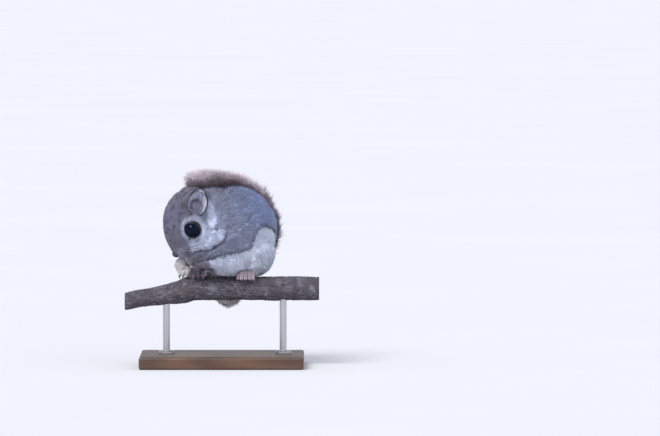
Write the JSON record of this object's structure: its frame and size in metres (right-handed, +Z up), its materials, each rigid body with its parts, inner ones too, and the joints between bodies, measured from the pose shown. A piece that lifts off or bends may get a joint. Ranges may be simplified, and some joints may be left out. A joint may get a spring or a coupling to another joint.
{
  "type": "flying squirrel",
  "caption": "Life-size flying squirrel curled up at rest on a cut branch, tail laid over its back, held by a flat display stand.",
  "frame": {"origin": "middle of the base's underside, which lies on the floor", "axes": "+Z up; +X along the branch, away from the end that the animal faces; the front of the model is towards -Y"},
  "size_m": [0.14, 0.0904, 0.1402],
  "materials": {
    "grey_fur": "soft, matt winter coat",
    "brown_fur": "short, matt coat",
    "white_fur": "soft, matt belly coat",
    "tail_fur": "long, loose hair",
    "pink_skin": "bare skin, satin",
    "nose_skin": "moist, satin",
    "dark_eye": "wet, glossy",
    "bark": "rough bark with lichen",
    "stained_wood": "stained, satin",
    "steel_rod": "brushed"
  },
  "bodies": {
    "root": {"head": "brown_fur", "neck": "grey_fur", "torso": "grey_fur", "ear_left": "brown_fur", "ear_right": "brown_fur", "eye_left": "dark_eye", "eye_right": "dark_eye", "nose": "nose_skin", "patagium_left": "grey_fur", "patagium_right": "grey_fur", "foreleg_left": "brown_fur", "foreleg_right": "brown_fur", "hand_left": "pink_skin", "hand_right": "pink_skin", "thigh_left": "white_fur", "thigh_right": "white_fur", "foot_left": "pink_skin", "foot_right": "pink_skin", "tail_1": "tail_fur", "tail_2": "tail_fur", "tail_3": "tail_fur", "tail_4": "tail_fur", "perch": "bark", "stand_base": "stained_wood", "stand_rod_left": "steel_rod", "stand_rod_right": "steel_rod"}
  },
  "joints": []
}
